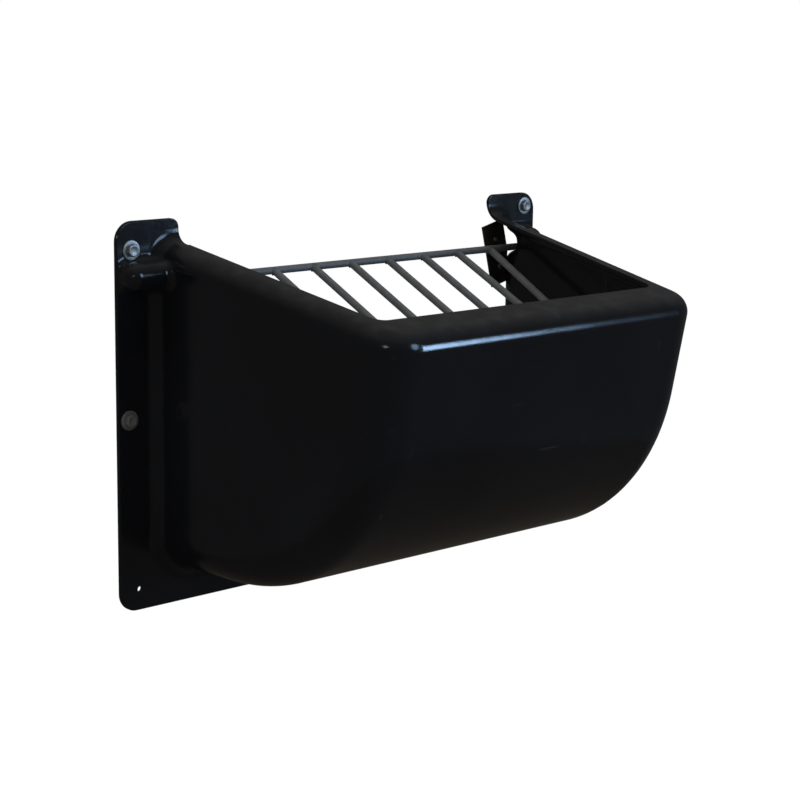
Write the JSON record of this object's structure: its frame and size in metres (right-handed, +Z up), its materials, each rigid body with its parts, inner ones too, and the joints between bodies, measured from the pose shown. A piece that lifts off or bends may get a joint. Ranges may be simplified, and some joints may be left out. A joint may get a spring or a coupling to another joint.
{
  "type": "wall-mounted hay manger",
  "caption": "Wall-mounted hay manger: deep moulded black plastic tub with a wall flange, open top and back, and a hinged grate of round galvanised bars over the hay.",
  "frame": {"origin": "midpoint between the two top wall bolts, on the wall plane that the flange's back lies against", "axes": "+X to the right along the wall as seen from the front, +Y into the wall, so the tub points along -Y, and +Z up"},
  "size_m": [0.886, 0.503, 0.6],
  "materials": {
    "black_polyethylene": "satin moulded black polyethylene",
    "galvanised_steel": "dull hot-dip galvanised",
    "zinc_plated_steel": "bright zinc plated",
    "black_guard_plastic": "matte"
  },
  "bodies": {
    "manger": {"manger_shell": "black_polyethylene", "wall_bolt_top_left": "zinc_plated_steel", "wall_bolt_top_right": "zinc_plated_steel", "wall_bolt_mid_left": "zinc_plated_steel", "wall_bolt_mid_right": "zinc_plated_steel", "washer_top_left": "zinc_plated_steel", "washer_top_right": "zinc_plated_steel", "washer_mid_left": "zinc_plated_steel", "washer_mid_right": "zinc_plated_steel", "rail_guard_right": "black_guard_plastic", "guard_screws_right": "zinc_plated_steel", "rail_guard_left": "black_guard_plastic", "guard_screws_left": "zinc_plated_steel"},
    "grate": {"grate_rail": "galvanised_steel", "grate_front_rod": "galvanised_steel", "grate_bar_1": "galvanised_steel", "grate_bar_2": "galvanised_steel", "grate_bar_3": "galvanised_steel", "grate_bar_4": "galvanised_steel", "grate_bar_5": "galvanised_steel", "grate_bar_6": "galvanised_steel", "grate_bar_7": "galvanised_steel", "grate_bar_8": "galvanised_steel", "grate_bar_9": "galvanised_steel"}
  },
  "joints": [
    {"name": "grate_hinge", "type": "hinge", "parent": "manger", "child": "grate", "pos_m": [0, -0.023, -0.05822], "axis": [-1, 0, 0], "range_deg": [-67, 118]}
  ]
}
